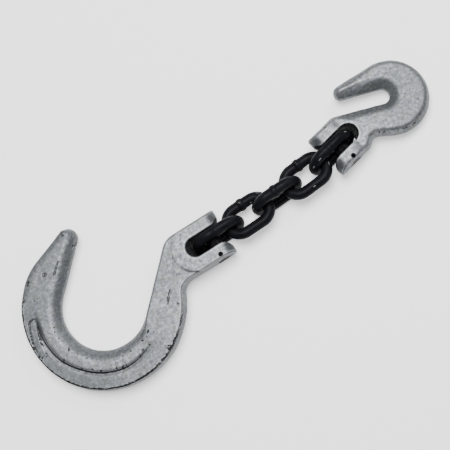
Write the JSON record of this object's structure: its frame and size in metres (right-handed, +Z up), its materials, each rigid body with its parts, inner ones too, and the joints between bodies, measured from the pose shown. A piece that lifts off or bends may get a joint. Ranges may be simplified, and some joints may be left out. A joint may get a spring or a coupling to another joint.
{
  "type": "safety chain hook",
  "caption": "Short safety chain assembly: a large clevis foundry hook and a clevis cradle grab hook, each on a load pin, joined by welded round links.",
  "frame": {"origin": "middle of the bounding box at floor level, with the assembly lying flat", "axes": "+X along the foundry hook's line of pull towards the grab hook, +Z up, +Y towards the side both hook tips are on"},
  "size_m": [0.4106, 0.1493, 0.0341],
  "materials": {
    "hook_steel": "satin grey coating on forged alloy steel, chipped to black at the outer edges",
    "chain_black": "black satin coating on round wire",
    "pin_steel": "dark turned steel",
    "spring_steel": "plain spring steel"
  },
  "bodies": {
    "foundry": {"foundry_hook": "hook_steel", "foundry_load_pin": "pin_steel", "foundry_retaining_pin": "spring_steel"},
    "link_1": {"chain_link_1": "chain_black"},
    "link_2": {"chain_link_2": "chain_black"},
    "link_3": {"chain_link_3": "chain_black"},
    "link_4": {"chain_link_4": "chain_black"},
    "link_5": {"chain_link_5": "chain_black"},
    "grab": {"grab_hook": "hook_steel", "grab_load_pin": "pin_steel", "grab_retaining_pin": "spring_steel"}
  },
  "joints": [
    {"name": "link_1_swing", "type": "hinge", "parent": "foundry", "child": "link_1", "pos_m": [-0.0219, -0.00186, 0.01674], "axis": [0, 1, 0], "range_deg": [-75, 75]},
    {"name": "link_2_swing", "type": "hinge", "parent": "link_1", "child": "link_2", "pos_m": [0.00459, -0.00131, 0.01674], "axis": [-0.0044, 0.2079, 0.9781], "range_deg": [-45, 45]},
    {"name": "link_3_swing", "type": "hinge", "parent": "link_2", "child": "link_3", "pos_m": [0.03447, -0.00016, 0.01674], "axis": [0.0375, -0.9774, 0.2079], "range_deg": [-45, 45]},
    {"name": "link_4_swing", "type": "hinge", "parent": "link_3", "child": "link_4", "pos_m": [0.06432, 0.00155, 0.01674], "axis": [0.0109, -0.2076, -0.9781], "range_deg": [-45, 45]},
    {"name": "link_5_swing", "type": "hinge", "parent": "link_4", "child": "link_5", "pos_m": [0.09412, 0.00405, 0.01674], "axis": [-0.0818, 0.9747, -0.2079], "range_deg": [-45, 45]},
    {"name": "grab_hook_swing", "type": "hinge", "parent": "link_5", "child": "grab", "pos_m": [0.11197, 0.00965, 0.01674], "axis": [0.2487, -0.9686, 0], "range_deg": [-75, 75]}
  ]
}
